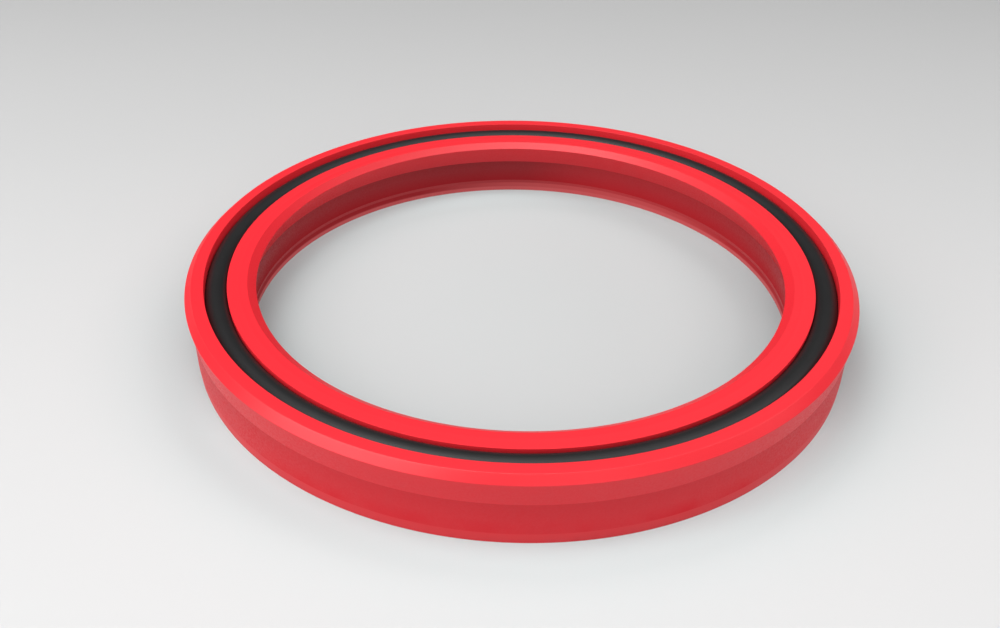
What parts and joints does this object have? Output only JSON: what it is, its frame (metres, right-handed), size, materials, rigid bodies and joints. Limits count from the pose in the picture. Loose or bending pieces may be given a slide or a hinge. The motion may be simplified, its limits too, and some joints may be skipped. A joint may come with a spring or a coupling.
{
  "type": "compressor seal",
  "caption": "Ring-shaped lip seal: a red body with a bevelled outer lip, a shorter inner lip and a flat heel, and a black O-ring snapped into the groove between the lips.",
  "frame": {"origin": "on the seal's axis, at the level of the flat heel that it rests on", "axes": "+Z along the seal's axis, from the heel towards the lips"},
  "size_m": [0.1012, 0.1012, 0.011],
  "materials": {
    "red_elastomer": "satin cast polyurethane, evenly coloured red",
    "black_rubber": "smooth matt moulded rubber"
  },
  "bodies": {
    "root": {"seal_body": "red_elastomer", "energizer_ring": "black_rubber"}
  },
  "joints": []
}
